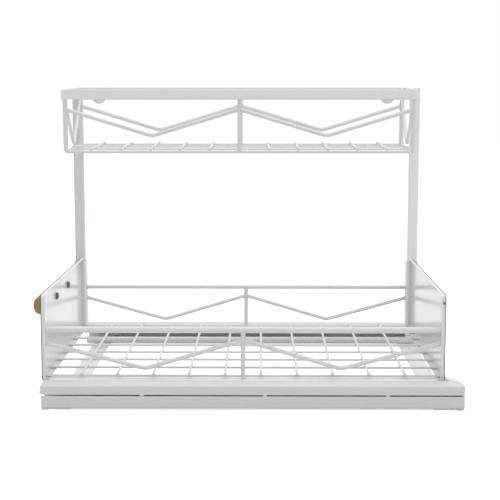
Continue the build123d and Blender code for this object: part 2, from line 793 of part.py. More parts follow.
keep("wooden_handle", handle())
keep("handle_screws", handle_screw(-1), handle_screw(1))

os.makedirs("parts", exist_ok=True)
for node_name, node_solids in nodes.items():
    plain_solids = [solid for shape in node_solids for solid in shape.solids()]
    if len(plain_solids) > 1:
        export_step(Compound(children=plain_solids), f"parts/{node_name}.step")
    else:
        export_step(plain_solids[0], f"parts/{node_name}.step")
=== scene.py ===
import json
import math

import bmesh
import bpy
from mathutils import Matrix, Vector


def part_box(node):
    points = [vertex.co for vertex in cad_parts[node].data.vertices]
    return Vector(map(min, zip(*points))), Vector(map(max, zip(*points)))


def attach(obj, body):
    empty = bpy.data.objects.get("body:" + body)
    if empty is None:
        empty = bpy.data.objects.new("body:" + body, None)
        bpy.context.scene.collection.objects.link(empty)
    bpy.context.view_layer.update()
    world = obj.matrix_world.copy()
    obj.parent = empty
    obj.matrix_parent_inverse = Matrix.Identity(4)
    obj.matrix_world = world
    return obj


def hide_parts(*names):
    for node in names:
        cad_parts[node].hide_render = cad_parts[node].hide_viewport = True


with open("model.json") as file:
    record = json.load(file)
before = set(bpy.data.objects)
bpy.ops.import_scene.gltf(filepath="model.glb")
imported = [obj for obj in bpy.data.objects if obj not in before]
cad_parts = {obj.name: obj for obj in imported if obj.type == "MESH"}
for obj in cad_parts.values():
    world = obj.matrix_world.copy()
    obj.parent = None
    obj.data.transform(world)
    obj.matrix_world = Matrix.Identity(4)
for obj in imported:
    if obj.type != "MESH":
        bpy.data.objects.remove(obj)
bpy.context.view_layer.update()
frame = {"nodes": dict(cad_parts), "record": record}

mm = 0.001

# Camera, as the photograph was taken
camera_place = (0.0149, -1.2569, 0.3080)
camera_pitch_down = 7.72
camera_yaw = 0.4827
camera_lens = 82.48
camera_sensor = 36.0

# Studio
floor_half = 6.0
floor_level = 0.80
floor_glow = 0.60
studio_back = 0.68
studio_front = 0.64
studio_right = 0.58
studio_left = 0.26
studio_top = 1.06
top_lamp_size = 1.6
top_lamp_place = (0.10, 0.10, 1.5)
top_lamp_power = 9.0

# Softened edges: doubles within a distance are merged, and folds under an angle count as flat
merge_distance = 0.002 * mm
flat_angle = math.radians(0.6)
crease_angle = math.radians(38)
recess_crease = math.radians(50)
sheet_edge = 0.28 * mm
moulded_edge = 0.35 * mm
panel_edge = 0.50 * mm
band_edge = 0.60 * mm
edge_segments = 2

# Coats and grain: patterns per metre, depths in metres
peel_scale = 1300.0
peel_depth = 0.020 * mm
mottle_scale = 26.0
dust_scale = 140.0
sheet_wave_scale = 9.0
sheet_wave_depth = 0.020 * mm
cloud_low, cloud_high = 0.965, 1.02
wear_and_highlight_low, wear_and_highlight_high = 0.35, 0.60
wear_and_highlight_amount = 0.6
worn_level = 0.62
wear_and_highlight_tint = (0.96, 0.99, 1.0)

# Painted shade lines: a dark line where the sleeves meet the panels, and a dark rim along the panels' edges
# with its wider part on the top edge.
# Distances are from the drawer's middle.
painted_shade_colour = (0.085, 0.10, 0.115, 1.0)
seam_place = 200.5 * mm
seam_low, seam_high = 27.0 * mm, 104.5 * mm
seam_half_width = 0.20 * mm
seam_reach = 0.34 * mm
rim_inner = 200.9 * mm
rim_outer = 201.98 * mm
rim_inner_fade = 0.20 * mm
rim_outer_fade = 0.08 * mm
rim_extra_on_top = 0.6 * mm
rim_top_low, rim_top_high = 110.9 * mm, 111.2 * mm
rim_roughness = 0.76

# Oiled wood: its pith lies outside the bar, rings and grain are per metre
pith_offset = (17.0, 23.0)
grain_stretch = 0.08
ring_scale = 430.0
ring_wander = 2.6
pore_scale = 1500.0

# Drawer frame and lower basket, in millimetres
weld_gap = 0.05
drawer_x = -1.5
panel_inner_half = 200.8
sleeve_inner_half = 194.8
near_wire_y = -132.5
far_wire_y = 124.75
rail_wire_offset = 3.6
near_top_bar = 6.0
far_top_bar = 4.8
top_bar_height = 75.1
zigzag_wire = 4.5
zigzag_peak = 64.2
zigzag_low = 35.4
zigzag_end = 62.1
zigzag_quarter = 98.3
zigzag_bend = 17.0
centre_bar = 4.7
runner_top = 24.5
floor_wire = 2.6
floor_long_z = 27.05
floor_cross_z = 29.70
floor_long_gaps = 7
floor_cross_count = 10
floor_cross_pitch = 36.1
hang_hole = (198.3, -136.75, 103.0)
# A dark disc of painted shade fills the hang hole.
hang_hole_shade_disc = 2.7
hang_hole_shade_disc_depth = 0.45

# Upper basket, in its own frame: rear face of the band at Y zero, middle of the band at Z zero
upper_origin = (-7.5, 121.364, 311.331)
upper_tilt = math.radians(1.5)
upper_depth = 117.0
upper_middle = -upper_depth / 2
band_height = 10.4
corner_rod = 5.2
rod_tuck = 1.5
upper_wire_half = 191.45
upper_far_plane = -4.15
upper_near_plane = -112.85
ring_wire = 3.6
ring_half_x = 192.3
ring_half_y = 55.2
ring_z = -62.9
ring_top = ring_z + ring_wire / 2
ring_corner = 7.0
upper_zigzag_wire = 4.4
upper_zigzag_quarter = 96.0
upper_zigzag_peak = -16.6
upper_zigzag_low = -45.2
upper_zigzag_end = -16.8
upper_centre_bar = 4.2
end_wire = 3.6
end_wire_top = -9.0
end_wire_bend = 7.0
upper_floor_wire = 2.4
upper_long_gaps = 3
upper_cross_count = 11
upper_cross_pitch = 32.6

# Weld beads, as shares of the radius of the wire that they hold
butt_bead_reach = 1.42
butt_bead_depth = 0.62
cross_bead_reach = 1.40
cross_bead_depth = 0.72
cut_end_reach = 0.985
cut_end_depth = 0.34
bead_depth_limit = 1.1

# Oval handle
handle_x = -210.2
handle_y = -16.0
handle_z = 94.1
handle_thickness = 12.8
handle_width = 18.4
handle_length = 182.0
handle_end_radius = 3.0

# Pan head screws: heights of the heads and radius of the shank
handle_screw_head = 2.8
ear_screw_head = 2.4
screw_shank_radius = 2.0


class Value:
    """A shader socket that takes part in arithmetic."""

    def __init__(self, finish, socket):
        self.finish = finish
        self.socket = socket

    def joined(self, operation, first, second):
        node = self.finish.node("ShaderNodeMath", {"operation": operation}, {0: first, 1: second})
        return Value(self.finish, node.outputs[0])

    def __add__(self, other):
        return self.joined("ADD", self, other)

    def __radd__(self, other):
        return self.joined("ADD", other, self)

    def __sub__(self, other):
        return self.joined("SUBTRACT", self, other)

    def __rsub__(self, other):
        return self.joined("SUBTRACT", other, self)

    def __mul__(self, other):
        return self.joined("MULTIPLY", self, other)

    def __rmul__(self, other):
        return self.joined("MULTIPLY", other, self)

    def __pow__(self, other):
        return self.joined("POWER", self, other)

    def fraction(self):
        return self.joined("FRACT", self, 0.0)

    def size(self):
        return self.joined("ABSOLUTE", self, 0.0)

    def spread(self, from_low, from_high, low=0.0, high=1.0):
        """The value, held between two ends and spread between two others."""
        inputs = {0: self, 1: from_low, 2: from_high, 3: low, 4: high}
        return Value(self.finish, self.finish.node("ShaderNodeMapRange", None, inputs).outputs[0])


class Finish:
    """One material: its shader, and one method that makes any other node."""

    def __init__(self, name):
        self.material = bpy.data.materials.new(name)
        self.material.use_nodes = True
        self.tree = self.material.node_tree
        self.shader = self.tree.nodes["Principled BSDF"]
        self.place = self.node("ShaderNodeTexCoord").outputs["Object"]

    def socket(self, sockets, key):
        """The socket at an index, or with that identifier or name."""
        if isinstance(key, int):
            return sockets[key]
        for socket in sockets:
            if key == socket.identifier:
                return socket
        return sockets[key]

    def feed(self, node, key, value):
        """Link or set one input."""
        target = self.socket(node.inputs, key)
        if isinstance(value, Value):
            value = value.socket
        if isinstance(value, bpy.types.NodeSocket):
            self.tree.links.new(value, target)
        else:
            target.default_value = value

    def node(self, kind, settings=None, inputs=None):
        """A node of any type, with its settings first and then its inputs."""
        made = self.tree.nodes.new(kind)
        for key, value in (settings or {}).items():
            if key == "stops":
                self.set_stops(made.color_ramp, value)
            else:
                setattr(made, key, value)
        for key, value in (inputs or {}).items():
            self.feed(made, key, value)
        return made

    def set_stops(self, ramp, stops):
        """The stops of a colour ramp, as pairs of place and colour."""
        while len(ramp.elements) > len(stops):
            ramp.elements.remove(ramp.elements[-1])
        while len(ramp.elements) < len(stops):
            ramp.elements.new(1.0)
        for element, (place, colour) in zip(ramp.elements, stops):
            element.position = place
            element.color = (*colour, 1.0)

    def noise(self, scale, detail=3.0, place=None, roughness=0.5):
        """A noise value from 0 to 1."""
        inputs = {"Vector": place or self.place, "Scale": scale, "Detail": detail, "Roughness": roughness}
        return Value(self, self.node("ShaderNodeTexNoise", None, inputs).outputs[0])

    def edges(self):
        """A mask of the rounded edges, kept on the mesh."""
        return Value(self, self.node("ShaderNodeAttribute", {"attribute_name": "edge"}).outputs["Fac"])

    def along(self, axis):
        """One coordinate of the object's own place, in metres."""
        return Value(self, self.node("ShaderNodeSeparateXYZ", None, {"Vector": self.place}).outputs[axis])

    def mixed(self, factor, first, second):
        """A colour between two colours."""
        inputs = {"Factor_Float": factor, "A_Color": first, "B_Color": second}
        node = self.node("ShaderNodeMix", {"data_type": "RGBA"}, inputs)
        return self.socket(node.outputs, "Result_Color")

    def bump(self, height, distance, strength=1.0, normal=None):
        """A bump from a height value."""
        inputs = {"Height": height, "Distance": distance, "Strength": strength}
        if normal is not None:
            inputs["Normal"] = normal
        return self.node("ShaderNodeBump", None, inputs).outputs[0]

    def set(self, **values):
        """Plain values and links on the shader, with spaces written as underscores."""
        for key, value in values.items():
            self.feed(self.shader, key.replace("_", " "), value)
        return self.material


def shade(level, tint=(1.0, 1.0, 1.0)):
    """A colour with its alpha, from a level and a tint."""
    return (level * tint[0], level * tint[1], level * tint[2], 1.0)


def coated_steel(name, level, tint, low_roughness, high_roughness, edge_wear_and_highlight_share=worn_level, seam_shade=False):
    """Baked white coat: a fine orange peel, faint clouds of tone, uneven sheen and edges worn darker; a share
    above one paints a highlight on the edges instead.

    An upright line of painted shade, when asked for, darkens the coat where the sleeve meets the panel's
    return.
    """
    finish = Finish(name)
    peel = finish.noise(peel_scale, 2.0)
    clouds = finish.noise(mottle_scale, 4.0)
    dust = finish.noise(dust_scale, 5.0, roughness=0.65)
    colour = finish.mixed(clouds, shade(level * cloud_low, tint), shade(level * cloud_high, tint))
    # Darker worn edges; with a share above one, as on the band, the edges get a painted highlight instead.
    edge_wear_and_highlight_mask = finish.edges() * dust.spread(wear_and_highlight_low, wear_and_highlight_high)
    colour = finish.mixed(edge_wear_and_highlight_mask * wear_and_highlight_amount, colour, shade(level * edge_wear_and_highlight_share, wear_and_highlight_tint))
    # Painted shade: a dark upright line beside the sleeves, where they meet the panels' returns.
    if seam_shade:
        beside = (finish.along(0) - drawer_x * mm).size() - seam_place
        shade_line = beside.size().spread(seam_half_width, seam_reach, 1.0, 0.0)
        height = finish.along(2)
        shade_line = shade_line * height.spread(seam_low, seam_low + mm)
        shade_line = shade_line * height.spread(seam_high - mm, seam_high, 1.0, 0.0)
        shade_line = shade_line * dust.spread(0.2, 0.6, 0.8, 1.0)
        colour = finish.mixed(shade_line, colour, painted_shade_colour)
    return finish.set(
        Base_Color=colour,
        Roughness=dust.spread(0.0, 1.0, low_roughness, high_roughness),
        Normal=finish.bump(peel, peel_depth),
        Specular_IOR_Level=0.45,
    )


def gloss_enamel(name, level, tint):
    """Glossy enamel on pressed sheet, with the slow waves of the sheet under it and a dark, rougher rim of
    painted shade along the outer edges.
    """
    finish = Finish(name)
    peel = finish.noise(peel_scale * 0.45, 2.0)
    wave = finish.noise(sheet_wave_scale, 1.0)
    clouds = finish.noise(mottle_scale * 0.5, 3.0)
    dust = finish.noise(dust_scale, 4.0)
    colour = finish.mixed(clouds, shade(level * 0.975, tint), shade(level * 1.01, tint))
    # Painted shade: a dark rim along the panels' outer edges, wider on the top edge, with more roughness and
    # less coat.
    beside = (finish.along(0) - drawer_x * mm).size()
    on_top = finish.along(2).spread(rim_top_low, rim_top_high)
    shade_rim = (beside + on_top * rim_extra_on_top).spread(rim_inner, rim_inner + rim_inner_fade)
    shade_rim = shade_rim * beside.spread(rim_outer - rim_outer_fade, rim_outer, 1.0, 0.0)
    shade_rim = shade_rim * dust.spread(0.25, 0.50, 0.75, 1.0)
    colour = finish.mixed(shade_rim, colour, painted_shade_colour)
    waved = finish.bump(wave, sheet_wave_depth)
    return finish.set(
        Base_Color=colour,
        Roughness=dust.spread(0.0, 1.0, 0.15, 0.24) + shade_rim * rim_roughness,
        Normal=finish.bump(peel, peel_depth * 0.4, normal=waved),
        Specular_IOR_Level=0.15,
        Coat_Weight=0.12 - shade_rim * 0.12,
        Coat_Roughness=0.06,
    )


def turned_wood(name):
    """Oiled hardwood with its rings about a pith outside the bar, and fine pores along it."""
    finish = Finish(name)
    pith = (handle_x + pith_offset[0], 0.0, handle_z + pith_offset[1])
    shifted = {"Vector": finish.place, "Location": [-v * mm for v in pith]}
    centred = finish.node("ShaderNodeMapping", None, shifted)
    stretched = {"Vector": centred.outputs[0], "Scale": (1.0, grain_stretch, 1.0)}
    along = finish.node("ShaderNodeMapping", None, stretched).outputs[0]
    parts = finish.node("ShaderNodeSeparateXYZ", None, {"Vector": centred.outputs[0]})
    across = Value(finish, parts.outputs[0])
    upward = Value(finish, parts.outputs[2])
    distance = (across * across + upward * upward) ** 0.5
    wander = finish.noise(60.0, 3.0, place=along)
    rings = (distance * ring_scale + wander * ring_wander).fraction()
    pores = finish.noise(pore_scale, 3.0, place=along, roughness=0.6)
    tone = finish.noise(35.0, 3.0, place=along)
    stops = [(0.0, (0.430, 0.275, 0.140)), (0.55, (0.375, 0.232, 0.114)), (0.92, (0.225, 0.128, 0.060)),
             (1.0, (0.415, 0.264, 0.134))]
    band = finish.node("ShaderNodeValToRGB", {"stops": stops}, {0: rings}).outputs[0]
    toned = finish.mixed(tone * 0.8, band, (0.405, 0.258, 0.130, 1.0))
    colour = finish.mixed(pores.spread(0.58, 0.72), toned, (0.150, 0.082, 0.040, 1.0))
    ground = finish.bump(pores, 0.08 * mm)
    return finish.set(
        Base_Color=colour,
        Roughness=tone.spread(0.0, 1.0, 0.48, 0.62),
        Normal=finish.bump(rings, 0.03 * mm, normal=ground),
        Specular_IOR_Level=0.3,
    )


def plated_steel(name, colour, low_roughness, high_roughness, metallic):
    """Plated or blackened steel with faint drawing marks and brighter edges."""
    finish = Finish(name)
    marks = finish.noise(900.0, 4.0)
    stains = finish.noise(160.0, 3.0)
    mixed = finish.mixed(stains, shade(0.85, colour), shade(1.1, colour))
    mixed = finish.mixed(finish.edges() * 0.5, mixed, shade(1.5, colour))
    return finish.set(
        Base_Color=mixed,
        Metallic=metallic,
        Roughness=stains.spread(0.0, 1.0, low_roughness, high_roughness),
        Normal=finish.bump(marks, peel_depth),
    )


def moulded_plastic(name, level, tint, roughness, spark):
    """Moulded plastic with a finely sparked surface."""
    finish = Finish(name)
    grain = finish.noise(2200.0, 2.0)
    clouds = finish.noise(45.0, 3.0)
    colour = finish.mixed(clouds, shade(level * 0.95, tint), shade(level * 1.03, tint))
    colour = finish.mixed(finish.edges() * 0.4, colour, shade(level * 0.80, tint))
    return finish.set(
        Base_Color=colour,
        Roughness=clouds.spread(0.0, 1.0, roughness - 0.06, roughness + 0.06),
        Normal=finish.bump(grain, spark),
        Subsurface_Weight=0.08,
        Subsurface_Scale=0.004,
    )


plain_white = (0.985, 1.0, 0.99)
band_white = (0.98, 0.992, 1.0)
finishes = {
    "rail_coat": coated_steel("rail_coat", 0.70, plain_white, 0.40, 0.52),
    # A lighter copy of the rail coat: painted light that offsets the shade inside the far channel and on the
    # runners.
    "inner_rail_lit_coat": coated_steel("inner_rail_lit_coat", 0.91, plain_white, 0.40, 0.52),
    "wire_coat": coated_steel("wire_coat", 0.76, plain_white, 0.36, 0.48),
    # The band's rounded edges are lighter than its coat: a painted highlight.
    "band_coat": coated_steel("band_coat", 0.83, band_white, 0.40, 0.52, edge_wear_and_highlight_share=1.14),
    # A lighter copy of the white coat: painted light that offsets the shade beside the panels, with a line of
    # painted shade where the sleeves meet the panels.
    "sleeve_lit_coat": coated_steel("sleeve_lit_coat", 0.95, plain_white, 0.36, 0.48, seam_shade=True),
    # One post coat in two copies: the front post darker as painted shade, the rear post lighter as painted
    # light.
    "front_post_shaded_coat": coated_steel("front_post_shaded_coat", 0.74, (0.99, 1.0, 0.965), 0.40, 0.52),
    "rear_post_lit_coat": coated_steel("rear_post_lit_coat", 0.88, plain_white, 0.40, 0.52),
    # A lighter copy of the rail coat: painted light that offsets the shade under the basket.
    "strip_lit_coat": coated_steel("strip_lit_coat", 0.93, plain_white, 0.50, 0.60),
    "panel_gloss": gloss_enamel("panel_gloss", 0.78, plain_white),
    "oiled_wood": turned_wood("oiled_wood"),
    "dark_steel": plated_steel("dark_steel", (0.16, 0.16, 0.155), 0.30, 0.42, 0.6),
    "bright_steel": plated_steel("bright_steel", (0.60, 0.61, 0.63), 0.22, 0.36, 1.0),
    "roller_nylon": moulded_plastic("roller_nylon", 0.76, (1.0, 0.99, 0.94), 0.42, 0.010 * mm),
    "white_plastic": moulded_plastic("white_plastic", 0.74, (1.0, 1.0, 1.0), 0.50, 0.015 * mm),
}
own_finish = {
    "upper_band": "band_coat",
    "front_sleeve": "sleeve_lit_coat",
    "rear_sleeve": "sleeve_lit_coat",
    "front_post": "front_post_shaded_coat",
    "rear_post": "rear_post_lit_coat",
    "near_runner": "inner_rail_lit_coat",
    "far_runner": "inner_rail_lit_coat",
    "far_lower_channel": "inner_rail_lit_coat",
    "front_cross_strip": "strip_lit_coat",
    "rear_cross_strip": "strip_lit_coat",
}

record = frame["record"]
node_slot = {row["node"]: row["material_slot"] for row in record["subparts"]}
node_body = {node: body for body, nodes in record["behaviour"]["bodies"].items() for node in nodes}


def finished_mesh(piece):
    """Turn the piece and its modifiers into a plain mesh."""
    bpy.context.view_layer.update()
    graph = bpy.context.evaluated_depsgraph_get()
    mesh = bpy.data.meshes.new_from_object(piece.evaluated_get(graph))
    piece.modifiers.clear()
    piece.data = mesh


def new_piece(name, mesh, finish):
    """An object with one finish."""
    piece = bpy.data.objects.new(name, mesh)
    bpy.context.scene.collection.objects.link(piece)
    mesh.materials.clear()
    mesh.materials.append(finishes[finish])
    return piece


def settle(piece, slot, body, *nodes):
    """Attach a finished piece to its body and hide the nodes that it stands for. The slot is not used."""
    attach(piece, body)
    for node in nodes:
        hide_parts(node)


def mark_edges(mesh):
    """Keep a mask of the middle of each rounded edge, and give all the faces the first finish."""
    inside = [True] * len(mesh.vertices)
    for face in mesh.polygons:
        if face.material_index == 0:
            for vertex in face.vertices:
                inside[vertex] = False
        face.material_index = 0
    mask = mesh.attributes.new("edge", "FLOAT", "POINT")
    mask.data.foreach_set("value", [float(mark) for mark in inside])


def softened(node, edge=sheet_edge):
    """A piece in place of a node, with its hard edges rounded over."""
    shape = bmesh.new()
    shape.from_mesh(frame["nodes"][node].data)
    bmesh.ops.remove_doubles(shape, verts=shape.verts, dist=merge_distance)
    bmesh.ops.dissolve_limit(shape, angle_limit=flat_angle, verts=shape.verts, edges=shape.edges)
    mesh = bpy.data.meshes.new(node + "_piece")
    shape.to_mesh(mesh)
    shape.free()
    mesh.shade_smooth()
    slot = node_slot[node]
    piece = new_piece(node + "_piece", mesh, own_finish.get(node, slot))
    bevel = piece.modifiers.new("edges", "BEVEL")
    bevel.width = edge
    bevel.segments = edge_segments
    bevel.limit_method = "ANGLE"
    bevel.angle_limit = crease_angle
    bevel.material = 1
    weighted = piece.modifiers.new("flat_faces", "WEIGHTED_NORMAL")
    weighted.mode = "FACE_AREA"
    weighted.weight = 100
    weighted.keep_sharp = False
    finished_mesh(piece)
    mark_edges(piece.data)
    settle(piece, slot, node_body[node], node)


class Recipe:
    """A Geometry Nodes tree with named inputs, run on one piece at a time."""

    def __init__(self, name, numbers):
        self.tree = bpy.data.node_groups.new(name, "GeometryNodeTree")
        face = self.tree.interface
        face.new_socket("Geometry", in_out="OUTPUT", socket_type="NodeSocketGeometry")
        face.new_socket("Geometry", in_out="INPUT", socket_type="NodeSocketGeometry")
        for number, kind in numbers.items():
            face.new_socket(number, in_out="INPUT", socket_type=kind)
        face.new_socket("Coat", in_out="INPUT", socket_type="NodeSocketMaterial")
        self.given = self.node("NodeGroupInput").outputs

    def node(self, kind, settings=None, inputs=None):
        """A node of any type, with its settings first and then its inputs by name or index."""
        made = self.tree.nodes.new(kind)
        for key, value in (settings or {}).items():
            setattr(made, key, value)
        for key, value in (inputs or {}).items():
            if isinstance(key, int):
                target = made.inputs[key]
            else:
                target = next(socket for socket in made.inputs if socket.enabled and socket.name == key)
            if isinstance(value, bpy.types.NodeSocket):
                self.tree.links.new(value, target)
            else:
                target.default_value = value
        return made

    def end(self, geometry):
        """End the tree with real, smooth geometry that carries the coat."""
        real = self.node("GeometryNodeRealizeInstances", None, {"Geometry": geometry})
        smooth = self.node("GeometryNodeSetShadeSmooth", None, {"Geometry": real.outputs[0]})
        coat = {"Geometry": smooth.outputs[0], "Material": self.given["Coat"]}
        coated = self.node("GeometryNodeSetMaterial", None, coat)
        self.node("NodeGroupOutput", None, {"Geometry": coated.outputs[0]})

    def run(self, piece, values):
        """Run the tree on a piece with these inputs, and keep the result as a plain mesh."""
        modifier = piece.modifiers.new(self.tree.name, "NODES")
        modifier.node_group = self.tree
        for item in self.tree.interface.items_tree:
            if item.in_out == "INPUT" and item.name in values:
                modifier[item.identifier] = values[item.name]
        finished_mesh(piece)


def wire_recipe():
    """Round wires along paths, with bends of one radius and closed ends."""
    recipe = Recipe("bent_wires", {
        "Radius": "NodeSocketFloat", "Bend": "NodeSocketFloat", "Bend steps": "NodeSocketInt",
        "Sides": "NodeSocketInt",
    })
    given = recipe.given
    path = recipe.node("GeometryNodeMeshToCurve", None, {"Mesh": given["Geometry"]})
    bend = {"Curve": path.outputs[0], "Count": given["Bend steps"], "Radius": given["Bend"]}
    bent = recipe.node("GeometryNodeFilletCurve", {"mode": "POLY"}, bend)
    circle = {"Resolution": given["Sides"], "Radius": given["Radius"]}
    section = recipe.node("GeometryNodeCurvePrimitiveCircle", None, circle)
    sweep = {"Curve": bent.outputs[0], "Profile Curve": section.outputs[0], "Fill Caps": True}
    recipe.end(recipe.node("GeometryNodeCurveToMesh", None, sweep).outputs[0])
    return recipe


def bead_recipe():
    """Small flattened beads on points, each turned along its own direction and slightly uneven."""
    recipe = Recipe("weld_beads", {
        "Detail": "NodeSocketInt", "Unevenness": "NodeSocketFloat", "Seed": "NodeSocketInt",
    })
    given = recipe.given

    def attribute(name, kind):
        return recipe.node("GeometryNodeInputNamedAttribute", {"data_type": kind}, {"Name": name}).outputs[0]

    def calculate(operation, first, second):
        return recipe.node("ShaderNodeMath", {"operation": operation}, {0: first, 1: second}).outputs[0]

    bead = recipe.node("GeometryNodeMeshIcoSphere", None, {"Radius": 1.0, "Subdivisions": given["Detail"]})
    direction = {"Vector": attribute("direction", "FLOAT_VECTOR")}
    turned = recipe.node("FunctionNodeAlignRotationToVector", {"axis": "Z"}, direction)
    least = calculate("SUBTRACT", 1.0, given["Unevenness"])
    most = calculate("ADD", 1.0, given["Unevenness"])
    limits = {"Min": least, "Max": most, "Seed": given["Seed"]}
    chance = recipe.node("FunctionNodeRandomValue", {"data_type": "FLOAT"}, limits)
    uneven = next(socket for socket in chance.outputs if socket.enabled)
    wide = calculate("MULTIPLY", attribute("reach", "FLOAT"), uneven)
    size = recipe.node("ShaderNodeCombineXYZ", None, {"X": wide, "Y": wide, "Z": attribute("depth", "FLOAT")})
    spot = {"Points": given["Geometry"], "Instance": bead.outputs[0], "Rotation": turned.outputs[0],
            "Scale": size.outputs[0]}
    recipe.end(recipe.node("GeometryNodeInstanceOnPoints", None, spot).outputs[0])
    return recipe


bent_wires = wire_recipe()
weld_beads = bead_recipe()


def wires(name, diameter, paths, node, bend=0.0, sides=20, closed=False):
    """Wires of one diameter along paths, in place of a node."""
    points, edges = [], []
    for path in paths:
        first = len(points)
        points += [Vector(point) * mm for point in path]
        edges += [(first + step, first + step + 1) for step in range(len(path) - 1)]
        if closed:
            edges.append((len(points) - 1, first))
    mesh = bpy.data.meshes.new(name)
    mesh.from_pydata(points, edges, [])
    slot = node_slot[node]
    piece = new_piece(name, mesh, slot)
    bent_wires.run(piece, {
        "Radius": diameter / 2 * mm, "Bend": bend * mm, "Bend steps": 12, "Sides": sides,
        "Coat": finishes[slot],
    })
    piece.data.set_sharp_from_angle(angle=crease_angle)
    settle(piece, slot, node_body[node], node)


class Beads:
    """Weld beads and rounded wire ends that are made together."""

    def __init__(self):
        self.rows = []

    def add(self, place, direction, radius, reach_share, depth_share):
        depth = min(radius * depth_share, bead_depth_limit)
        self.rows.append((Vector(place) * mm, Vector(direction), radius * reach_share * mm, depth * mm))

    def butt(self, place, direction, diameter):
        """The bead round a wire's end on another piece."""
        self.add(place, direction, diameter / 2, butt_bead_reach, butt_bead_depth)

    def cross(self, place, direction, diameter):
        """The bead between two wires that cross."""
        self.add(place, direction, diameter / 2, cross_bead_reach, cross_bead_depth)

    def cut(self, place, direction, diameter):
        """The rounded coat over a cut end."""
        self.add(place, direction, diameter / 2, cut_end_reach, cut_end_depth)

    def make(self, name, detail, seed, finish="wire_coat"):
        """All the beads as one piece on the drawer."""
        mesh = bpy.data.meshes.new(name)
        mesh.from_pydata([row[0] for row in self.rows], [], [])
        columns = (("direction", "FLOAT_VECTOR", "vector"), ("reach", "FLOAT", "value"),
                   ("depth", "FLOAT", "value"))
        for column, (attribute, kind, field) in enumerate(columns, start=1):
            made = mesh.attributes.new(attribute, kind, "POINT")
            for row, spot in zip(self.rows, made.data):
                setattr(spot, field, row[column])
        piece = new_piece(name, mesh, finish)
        weld_beads.run(piece, {
            "Detail": detail, "Unevenness": 0.05, "Seed": seed, "Coat": finishes[finish],
        })
        settle(piece, finish, "drawer")


def evenly(count, pitch):
    """Places spaced by a pitch about zero."""
    return [(number - (count - 1) / 2) * pitch for number in range(count)]


def lower_basket():
    """The wires of the lower basket and their welds."""
    welds = Beads()
    along, upward, across = (1, 0, 0), (0, 0, 1), (0, 1, 0)
    rail_rows = []
    for side_name, sign, y, half, bar in (
        ("near", 1, near_wire_y, panel_inner_half, near_top_bar),
        ("far", -1, far_wire_y, sleeve_inner_half, far_top_bar),
    ):
        rail_y = y + sign * rail_wire_offset
        rail_rows.append(rail_y)
        ends = [drawer_x - half + weld_gap, drawer_x + half - weld_gap]
        panel_ends = [drawer_x - panel_inner_half + weld_gap, drawer_x + panel_inner_half - weld_gap]
        wires(side_name + "_top_bar_wire", bar, [[(x, y, top_bar_height) for x in ends]],
              side_name + "_top_bar", sides=28)
        wires(side_name + "_bottom_rail_wire", floor_wire, [[(x, rail_y, floor_long_z) for x in ends]],
              side_name + "_bottom_rail")
        zigzags = []
        for side in (-1, 1):
            start = drawer_x + side * centre_bar / 4
            end = drawer_x + side * (half - weld_gap)
            zigzags.append([(start, y, zigzag_peak), (drawer_x + side * zigzag_quarter, y, zigzag_low),
                            (end, y, zigzag_end)])
            welds.butt((drawer_x + side * centre_bar / 2, y, zigzag_peak - 0.4), along, zigzag_wire)
            welds.butt((end, y, zigzag_end), along, zigzag_wire)
            welds.butt((end, y, top_bar_height), along, bar)
            welds.butt((end, rail_y, floor_long_z), along, floor_wire)
        wires(side_name + "_zigzag_wires", zigzag_wire, zigzags, side_name + "_zigzag", bend=zigzag_bend)
        bar_top = top_bar_height - bar / 4
        foot = runner_top + weld_gap
        wires(side_name + "_centre_bar_wire", centre_bar, [[(drawer_x, y, foot), (drawer_x, y, bar_top)]],
              side_name + "_centre_bar", sides=24)
        welds.butt((drawer_x, y, top_bar_height - bar / 2), upward, centre_bar)
        welds.butt((drawer_x, y, foot), upward, centre_bar)
    near_rail_y, far_rail_y = rail_rows
    gap = (far_rail_y - near_rail_y) / floor_long_gaps
    long_y = [near_rail_y + gap * number for number in range(1, floor_long_gaps)]
    cross_x = [drawer_x + x for x in evenly(floor_cross_count, floor_cross_pitch)]
    wires("floor_long_wire_row", floor_wire, [[(x, y, floor_long_z) for x in panel_ends] for y in long_y],
          "floor_long_wires")
    cross_ends = [near_wire_y - floor_wire / 2, far_wire_y + floor_wire / 2]
    wires("floor_cross_wire_row", floor_wire, [[(x, y, floor_cross_z) for y in cross_ends] for x in cross_x],
          "floor_cross_wires")
    contact = (floor_long_z + floor_cross_z) / 2
    for y in long_y:
        for x in panel_ends:
            welds.butt((x, y, floor_long_z), along, floor_wire)
    for x in cross_x:
        for y in [near_rail_y, *long_y, far_rail_y]:
            welds.cross((x, y, contact), upward, floor_wire)
        for y in cross_ends:
            welds.cut((x, y, floor_cross_z), across, floor_wire)
    welds.make("lower_basket_welds", 3, 4)
    # A dark disc of painted shade fills the hang hole.
    shade_disc = Beads()
    shade_disc.add(hang_hole, across, hang_hole_shade_disc / 2, 1.0, hang_hole_shade_disc_depth)
    shade_disc.make("hang_hole_painted_shade", 4, 2, finish="dark_steel")


def hung(x, y, z):
    """A point of the leaning upper basket, in the object's own frame."""
    lean, rise = math.cos(upper_tilt), math.sin(upper_tilt)
    return (upper_origin[0] + x, upper_origin[1] + y * lean - z * rise, upper_origin[2] + y * rise + z * lean)


